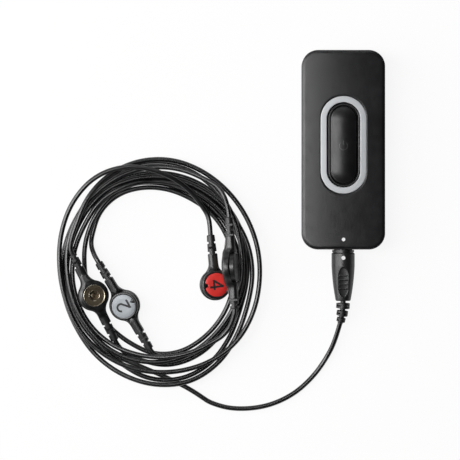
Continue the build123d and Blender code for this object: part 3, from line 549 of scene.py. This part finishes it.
def neck_outline(ways, inset):
    """Outline of the disc and its necks, drawn in by an inset: each neck leaves the disc on arcs that touch both.

    The arcs' middles stay where they are, so the disc and neck shrink by the inset as the arcs grow by it."""
    centre_x = sqrt((HEAD_RADIUS + FLARE) ** 2 - (NECK_HALF + FLARE) ** 2)
    touch = atan2(NECK_HALF + FLARE, centre_x)
    radius, flare_radius, half = HEAD_RADIUS - inset, FLARE + inset, NECK_HALF - inset
    halves = []
    for way in (1, -1):
        if way in ways:
            disc = np.linspace(pi / 2, touch, 26)
            flare = np.linspace(touch, pi / 2, 18)[1:]
            xs = np.concatenate([radius * np.cos(disc), centre_x - flare_radius * np.cos(flare),
                                 np.linspace(centre_x, NECK, 8)[1:]])
            ys = np.concatenate([radius * np.sin(disc), NECK_HALF + FLARE - flare_radius * np.sin(flare),
                                 np.full(7, half)])
        else:
            disc = np.linspace(pi / 2, 0, 50)
            xs, ys = radius * np.cos(disc), radius * np.sin(disc)
        halves.append(np.stack([way * xs, ys], -1))
    upper = np.concatenate([halves[0][::-1], halves[1][1:]])
    return np.concatenate([upper, upper[::-1] * (1, -1)])


def head_shell(number, place, ways):
    """Lower half with the necks. The disc has round lower edges; the necks' section is a full oval, a power of 2.5,
    and goes over into the disc within the flare."""
    insets = np.array([2.12, 1.9, 1.55, 1.2, 0.9, 0.62, 0.4, 0.22, 0.1, 0.03, 0.0])
    oval = (1 - (1 - insets / NECK_HALF) ** 2.5) ** 0.4
    lower_round, upper_round, seam = 1.9, 0.35, -0.12
    rows = []
    for inset, share in zip(insets[1:], oval[1:]):
        outline = neck_outline(ways, inset)
        neck = smooth(np.hypot(outline[:, 0], outline[:, 1]), HEAD_RADIUS - 0.3, 11.0)
        below = -BASE + lower_round * (1 - sqrt(1 - (1 - min(inset / lower_round, 1)) ** 2))
        rows.append(level(outline, below + (-NECK_HALF_HEIGHT * share - below) * neck))
    for inset, share in zip(insets[::-1], oval[::-1]):
        outline = neck_outline(ways, inset)
        distance = np.hypot(outline[:, 0], outline[:, 1])
        neck = smooth(distance, HEAD_RADIUS - inset + 0.05, HEAD_RADIUS - inset + 2.4)
        above = seam - upper_round * (1 - min(inset / upper_round, 1)) ** 2
        rows.append(level(outline, above + (NECK_HALF_HEIGHT * share - above) * neck))
    circle = rounded(10.06, 10.06, 5.03, around=96)
    surface(f"head_{number}_shell", place.put(rows), "head", "lead_set", [f"head_{number}_base"],
            (False, True), 50, pocket=[place.put(level(circle, -BASE)), place.put(level(circle, 1.2 - BASE))])


def head_cap(number, place):
    """Upper half: a lathed disc with a quarter-round edge and the label's recess."""
    profile = [(6.45, 0.02), (6.6, 0.12), (6.62, 0.9), (6.6, 1.75)]
    profile += [(6.6 - inset, 1.75 + rise) for inset, rise in edge_round(0.6)[1:]]
    profile += [(5.62, 2.37), (5.47, 2.28), (5.46, 1.95), (0.3, 1.95)]
    turned(f"head_{number}_top", place, profile, "head", "lead_set", "head_black", [f"head_{number}_cap"], 128)


def head_label(number, place):
    """Round label with a notch 1.5 mm deep, the cap's raised pip in the notch, and the printed number."""
    angles = np.linspace(0, 2 * pi, 240, endpoint=False)
    away = np.abs((angles + pi / 2 + pi) % (2 * pi) - pi)
    notch = 1.5 * np.clip(1.6 * (1 - away / 0.25), 0, 1)
    rows = [np.stack([(r - depth) * np.cos(angles), (r - depth) * np.sin(angles), np.full(240, z)], -1)
            for r, depth, z in ((5.4, notch, 1.97), (5.4, notch, 2.28), (5.33, notch, 2.34), (3.0, 0, LABEL_TOP))]
    surface(f"head_{number}_disc", place.put(rows), labels[number], "lead_set",
            [f"head_{number}_label"], (False, True), 50)
    pip = [[(x * s, -5.42 + y * s, z) for x, y in ((-1.05, -0.02), (1.05, -0.02), (0.32, 1.3), (-0.32, 1.3))]
           for s, z in ((1.0, 1.95), (1.0, 2.3), (0.85, 2.38))]
    surface(f"head_{number}_pip", place.put(pip), "head", "lead_set", (), (False, True), 40)
    for index, path in enumerate(digits[number]):
        rows = band(path, 0.5)
        rows[..., 2] = LABEL_TOP + 0.02 * rows[..., 2]
        surface(f"head_{number}_number_{index}", place.put(rows), "ink", "lead_set")


def snap_socket(number, place):
    """Lathed the other way up, with heights below the shell: rolled rim, grooved dish, mouth and well."""
    under = Frame(place.origin - place.z * BASE, place.x, -place.z)
    rim = [(5.0, -1.1), (5.0, -0.02)] + [(4.84 + 0.16 * cos(a), 0.13 * sin(a)) for a in np.linspace(0, pi, 9)]
    rim += [(4.66, -0.3), (4.6, -0.37)]
    dish = [(4.62, -0.36)]
    for radius in np.arange(4.4, 2.7, -0.25):
        dish += [(radius, -0.36), (radius - 0.06, -0.372), (radius - 0.12, -0.36)]
    dish.append((2.44, -0.36))
    mouth = [(2.46, -0.37), (2.4, -0.33), (2.33, -0.36), (2.28, -0.45), (2.27, -1.0), (2.8, -1.02), (2.8, -1.7),
             (2.3, -1.72), (2.2, -2.5)]
    well = [(2.24, -2.45), (1.5, -2.5), (1.3, -2.35), (1.0, -2.22), (0.6, -2.15), (0.1, -2.12)]
    # The rim and mouth take the lighter nickel as a painted highlight; the dish and well take the darker nickel as
    # painted shade
    for part, profile, paint, sides in (("rim", rim, "lit_nickel", 128), ("dish", dish, "nickel", 128),
                                        ("mouth", mouth, "lit_nickel", 128), ("well", well, "nickel", 96)):
        turned(f"head_{number}_{part}", under, profile, paint, "lead_set", "snap_nickel",
               [f"head_{number}_socket"], sides, (False, part == "well"), 30)


def head_reliefs(number, place, sleeves):
    """Tapered sleeves on the cord, notched by turns from the sides and from above and below."""
    turn = np.linspace(0, 2 * pi, 72, endpoint=False)
    pitch = 2.3
    for side, sleeve in zip((-1, 1), sleeves):
        lengths = np.linspace(-0.2, sleeve, int(22 * sleeve))
        radii = np.repeat((2.12 - 0.32 * lengths / 9)[:, None], len(turn), axis=1)
        radii -= 0.35 * np.clip((lengths - sleeve + 0.35) / 0.35, 0, 1)[:, None] ** 2
        for notch in range(int(sleeve / pitch)):
            cut = smooth(0.48 - np.abs(lengths - 0.85 - pitch * notch), 0, 0.05)
            across = np.abs(np.cos(turn) if notch % 2 == 0 else np.sin(turn))
            flat = 1.02 / np.maximum(across, 0.01)
            radii = np.where((across > 0.2)[None] & (cut > 0)[:, None],
                             radii + (np.minimum(flat[None], radii) - radii) * cut[:, None], radii)
        start = place.at(side * NECK)
        strain_relief(f"head_{number}_sleeve_{'ab'[side > 0]}", [start + side * place.x * l for l in lengths],
                      radii, f"head_{number}_reliefs", place.z)


# Strokes of the plain numbers, which stand across the cord
digits = {
    1: [[(-1.2, 1.9), (0.1, 2.9)], [(0.1, 3.2), (0.1, -3.1)]],
    2: [arc(0, 1.25, 1.7, 165, -35) + [(-1.75, -2.5)], [(-2.2, -2.6), (2.1, -2.6)]],
    3: [arc(0, 1.5, 1.45, 155, -90), arc(0, -1.4, 1.5, 90, -155)],
    4: [[(0.9, 3.2), (0.9, -3.1)], [(0.95, 3.1), (-1.9, -1.0)], [(-2.4, -1.1), (2.2, -1.1)]],
}


for number, (place, sleeves) in heads.items():
    head_shell(number, place, (-1,) if len(sleeves) == 1 else (-1, 1))
    head_cap(number, place)
    head_label(number, place)
    snap_socket(number, place)
    head_reliefs(number, place, sleeves)

# Cords. A route round the coil's middle is rows of bearing in degrees, radius and layer, and runs clockwise.
COIL, LAYER, CORD_RADIUS = (-84.3, -54.9), 2.65, 1.1
coil_routes = {
    "main": [
        (268, 45.2, 0), (250, 44.0, 0), (190, 43.1, 0), (150, 43.6, 0), (120, 44.9, 0), (105, 45.0, 0), (90, 44.6, 0),
        (75, 44.0, 0), (60, 43.6, 0), (45, 42.8, 0), (20, 41.5, 0), (0, 40.4, 0), (340, 40.5, 0.05),
        (325, 42.6, 0.25), (310, 46.3, 0.5), (296, 49.4, 0.85), (285, 51.0, 1), (272, 51.0, 1), (262, 49.6, 1),
        (250, 46.4, 1), (240, 44.5, 1), (225, 43.2, 1), (190, 42.2, 1), (150, 41.8, 1), (140, 42.7, 1), (127, 43.9, 1),
        (105, 43.1, 1), (90, 42.7, 1), (75, 42.0, 1), (60, 41.6, 1), (45, 41.5, 1), (25, 42.0, 1), (0, 42.8, 1),
        (345, 42.9, 1), (330, 44.6, 1), (310, 48.7, 1), (296, 52.0, 1.35), (280, 53.3, 1.6), (268, 52.5, 1.65),
        (255, 51.0, 1.6), (245, 50.0, 1.4), (235, 48.7, 1.05), (215, 45.8, 1), (190, 44.6, 1), (150, 44.2, 1),
        (130, 46.5, 1), (105, 48.6, 1), (90, 48.8, 1.25), (75, 48.0, 1.65), (60, 45.7, 1.98), (45, 43.8, 2),
        (25, 39.9, 2), (5, 38.1, 2), (335, 38.0, 2), (318, 38.6, 2.05), (300, 39.7, 2.1), (290, 40.9, 2.15),
        (280, 41.6, 2.2), (270, 42.1, 2.2), (240, 42.8, 2.05), (215, 41.5, 2), (190, 41.4, 2), (170, 42.6, 1.96),
        (150, 44.4, 2), (130, 45.2, 2), (100, 47.1, 2), (80, 47.1, 2.4), (62, 46.6, 2.9), (50, 44.2, 3.3),
    ],
    "lead_1": [
        (318, 41.0, 3.15), (300, 40.8, 3.08), (285, 39.9, 3), (270, 39.8, 2.55), (262, 39.6, 2.3), (242, 40.2, 1.65),
        (222, 40.3, 1.1), (190, 39.7, 1), (150, 39.5, 1), (138, 40.4, 1), (127, 41.6, 1.4), (114, 41.4, 1.55),
        (102, 40.9, 1.15), (90, 40.6, 1), (75, 39.9, 1), (60, 39.5, 1), (45, 39.4, 1), (25, 39.5, 1), (10, 39.5, 1),
        (303, 39.6, 0.97),
    ],
    "lead_2": [
        (162, 31.3, 0.3), (152, 34.5, 0), (141, 37.2, 0), (127, 38.9, 0), (118, 39.3, 0), (100, 38.4, 0),
        (90, 37.6, 0), (75, 36.4, 0), (60, 35.4, 0), (45, 35.3, 0), (10, 34.2, 0), (325, 35.8, 0), (300, 37.4, 0),
        (282, 38.8, 0), (266, 38.5, 0), (252, 36.3, 0), (240, 34.9, 0), (200, 33.6, 0), (177, 33.9, 0.1),
        (162, 35.6, 0.45), (150, 36.9, 0.8), (138, 38.4, 0.9), (130, 39.3, 0.9), (122, 40.5, 0.8), (114, 41.6, 0.5),
        (104, 41.1, 0.08), (90, 39.9, 0), (75, 38.5, 0), (60, 37.5, 0), (45, 37.4, 0), (10, 36.9, 0), (325, 38.6, 0),
        (300, 42.8, 0), (287, 43.4, 0), (278, 44.0, 0), (270, 43.8, 0), (262, 42.7, 0.05), (254, 41.1, 0.2),
        (248, 39.9, 0.5),
    ],
    "lead_3": [
        (162, 40.7, 2.85), (150, 42.9, 3.05), (140, 45.1, 3.1), (130, 47.2, 3), (120, 48.8, 2.6), (110, 49.9, 2.2),
        (90, 51.0, 2), (75, 50.1, 2), (60, 48.7, 2), (45, 47.5, 2), (30, 46.6, 2), (0, 46.1, 2), (340, 47.0, 2),
        (315, 48.3, 2), (280, 47.0, 2), (235, 45.9, 2), (210, 45.1, 2), (190, 44.5, 2), (170, 46.0, 2),
        (150, 48.9, 2.3), (125, 51.6, 3.1), (108, 49.8, 3.3), (90, 44.9, 3.1), (72, 40.0, 2.2), (60, 36.4, 1.6),
        (50, 33.6, 1.5), (44, 32.0, 1.5),
    ],
}


def coil_points(rows, step=18.0):
    """Control points round the coil: radius and layer run smoothly from row to row of the route.

    Each is a cubic of the angle travelled, with the harmonic mean of the slopes to both sides at each row. A
    control point stands out by 1 / cos(half a step), so that the spline keeps the radius."""
    travel = np.concatenate([[0], np.cumsum([(a[0] - b[0]) % 360 or 360 for a, b in zip(rows, rows[1:])])])

    def run(values, at):
        """The value at an angle travelled."""
        rates = np.diff(values) / np.diff(travel)
        slopes = [rates[0]]
        for a, b in zip(rates, rates[1:]):
            slopes.append(0 if a * b <= 0 else 2 * a * b / (a + b))
        slopes.append(rates[-1])
        k = min(np.searchsorted(travel, at, side="right") - 1, len(travel) - 2)
        span = travel[k + 1] - travel[k]
        s = (at - travel[k]) / span
        return ((1 + 2 * s) * (1 - s) ** 2 * values[k] + s * (1 - s) ** 2 * span * slopes[k]
                + s ** 2 * (3 - 2 * s) * values[k + 1] + s ** 2 * (s - 1) * span * slopes[k + 1])

    radii = np.array([row[1] for row in rows], float)
    layers = np.array([row[2] for row in rows], float)
    count = ceil(travel[-1] / step)
    size = travel[-1] / count
    points = []
    for k in range(count):
        at = (k + 0.5) * size
        bearing = radians(rows[0][0] - at)
        radius = run(radii, at) / cos(radians(size / 2))
        points.append(np.array([COIL[0] + radius * cos(bearing), COIL[1] + radius * sin(bearing),
                                CORD_RADIUS + LAYER * run(layers, at)]))
    return points


def lead_in(place, heading, first, second):
    """Points from a cord's end to its first control point in the coil, on Bezier's cubic that is tangent to both.

    The point 1.6 mm from the end keeps the cord straight where it comes out."""
    gap = np.linalg.norm(first - place)
    corners = [place, place + heading * 0.34 * gap, first + unit(first - second) * 0.36 * gap, first]
    points = [place, place + heading * 1.6]
    for t in np.linspace(0, 1, max(3, round(gap / 4)) + 1)[1:-1]:
        shares = ((1 - t) ** 3, 3 * t * (1 - t) ** 2, 3 * t ** 2 * (1 - t), t ** 3)
        points.append(sum(share * corner for share, corner in zip(shares, corners)))
    return points


def cord(name, points, replaces):
    """Free cord: a spline of order 3 on control points in mm."""
    curve = bpy.data.curves.new(name, "CURVE")
    curve.dimensions = "3D"
    spline = curve.splines.new("NURBS")
    spline.points.add(len(points) - 1)
    for point, place in zip(spline.points, points):
        point.co = (*(np.asarray(place) * MM), 1)
    spline.order_u = 3
    spline.use_endpoint_u = True
    spline.resolution_u = 8
    curve.bevel_depth = CORD_RADIUS * MM
    curve.bevel_resolution = 5
    curve.use_fill_caps = True
    thing = bpy.data.objects.new(name, curve)
    link(thing, "cord", "lead_set", replaces)


def end_of(number, side):
    """Place where the cord leaves a head's relief, and the way of the head's x."""
    place, sleeves = heads[number]
    return place.at(side * (NECK + sleeves[0 if side < 0 else -1])), place.x


# Free stretch of the main cord: off the plug's relief, down to the table and over to the coil
relief_end = bent(relief_length)
relief_heading = unit(relief_end - bent(relief_length - 0.2))
free_route = [relief_end, relief_end + relief_heading * 8.5, np.array([-7.4, -95.2, 1.4])]
free_route += [np.array([x, y, CORD_RADIUS]) for x, y in (
    (-13.6, -104.0), (-23.0, -112.4), (-35.5, -117.8), (-49.8, -118.9), (-60.4, -116.1), (-65.2, -112.8))]

main = coil_points(coil_routes["main"])
end, heading = end_of(1, -1)
joined = lead_in(free_route[-1], unit(free_route[-1] - free_route[-2]), main[0], main[1])
route = free_route + joined[2:] + main + lead_in(end, -heading, main[-1], main[-2])[::-1]
cord("main_cord", route, ["main_lead", "main_coil"])
for name, before, after, length in (("lead_1", 1, 2, 0.304), ("lead_2", 2, 3, 0.424), ("lead_3", 3, 4, 0.409)):
    rows = coil_points(coil_routes[name])
    start, start_heading = end_of(before, 1)
    end, heading = end_of(after, -1)
    route = (lead_in(start, start_heading, rows[0], rows[1]) + rows
             + lead_in(end, -heading, rows[-1], rows[-2])[::-1])
    cord(name + "_cord", route, [name])

# Finishes of the CAD nodes that show, or would show with the case open
finishes = {
    "case": ["back_cover"],
    "gasket": ["cover_gasket"],
    "steel": ["cover_screws", "radio_shield"],
    "dark_metal": ["socket_shell", "plug_sleeve"],
    "dot": ["case_dot", "plug_dot"],
    "board": ["circuit_board"],
    "chip": ["processor_chip", "signal_chip", "memory_chip", "beeper", "socket_insert", "plug_insert"],
    "tan": ["board_passives"],
    "clear": ["status_lamps"],
    "grey": ["switch_body", "switch_plunger"],
    "foil": ["battery_cell"],
    "white": ["battery_tape"],
    "gold": ["socket_contacts", "plug_pins"],
    "nickel": [f"head_{number}_spring" for number in heads],
}
for paint, names in finishes.items():
    for name in names:
        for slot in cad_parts[name].material_slots:
            slot.material = paints[paint].material

# Floor, world and lamps
FLOOR = 9.0
floor_mesh = bpy.data.meshes.new("floor")
floor_mesh.from_pydata([(-FLOOR, -FLOOR, 0), (FLOOR, -FLOOR, 0), (FLOOR, FLOOR, 0), (-FLOOR, FLOOR, 0)], [],
                       [(0, 1, 2, 3)])
floor = bpy.data.objects.new("floor", floor_mesh)
bpy.context.collection.objects.link(floor)
floor_paint = Paint("floor_paper", (0.94, 0.94, 0.94), 0.8)
rays = floor_paint.tree.nodes.new("ShaderNodeLightPath")
camera_ray, glossy_ray, passing_ray = [Socket(floor_paint, rays.outputs[kind]) for kind in (
    "Is Camera Ray", "Is Glossy Ray", "Is Transmission Ray")]
# The camera, and rays through clear pieces, see the floor white with its shadows; mirrors see half of that
seen = (camera_ray.maths("MAXIMUM", passing_ray) * 0.9).maths("MAXIMUM", glossy_ray * 0.5)
glow = floor_paint.node("Emission", (1, 1, 1, 1), 1.0)
paper = floor_paint.node("MixShader", seen, Socket(floor_paint, floor_paint.shader.outputs[0]), glow)
floor_paint.tree.links.new(paper.socket, floor_paint.tree.nodes["Material Output"].inputs["Surface"])
floor_mesh.materials.append(floor_paint.material)


class Sky(Paint):
    """The world: a pale backdrop round the sides, paler at the left, under a dim ceiling."""

    def __init__(self, world):
        self.tree = world.node_tree
        self.place = self.node("TexCoord", output="Generated")
        height = self.node("SeparateXYZ", self.place, output="Z")
        across = self.node("SeparateXYZ", self.place, output="X")
        self.join(height.between(0.0, 0.3, 0.42, 0.04) * across.between(-0.7, 0.7, 1.25, 0.5),
                  self.tree.nodes["Background"].inputs["Strength"])
        self.tree.nodes["Background"].inputs["Color"].default_value = (1, 1, 1, 1)


world = bpy.data.worlds.new("world")
bpy.context.scene.world = world
world.use_nodes = True
Sky(world)


def lamp(name, place, target, size, power):
    """Soft rectangular lamp at a place, turned to a target, in metres."""
    data = bpy.data.lights.new(name, "AREA")
    data.shape = "RECTANGLE"
    data.size, data.size_y = size
    data.energy = power
    thing = bpy.data.objects.new(name, data)
    thing.location = place
    thing.rotation_euler = (Vector(target) - Vector(place)).to_track_quat("-Z", "Y").to_euler()
    bpy.context.collection.objects.link(thing)


lamp("key_left", (-0.60, 0.04, 1.12), (-0.03, -0.02, 0), (0.42, 0.85), 10.5)
lamp("panel_left", (-1.15, 0.05, 0.48), (-0.04, -0.03, 0), (1.4, 0.8), 13.0)
lamp("north_soft", (-0.05, 1.0, 0.9), (-0.06, -0.03, 0), (1.1, 0.4), 3.0)

bpy.context.scene.view_settings.view_transform = "Standard"
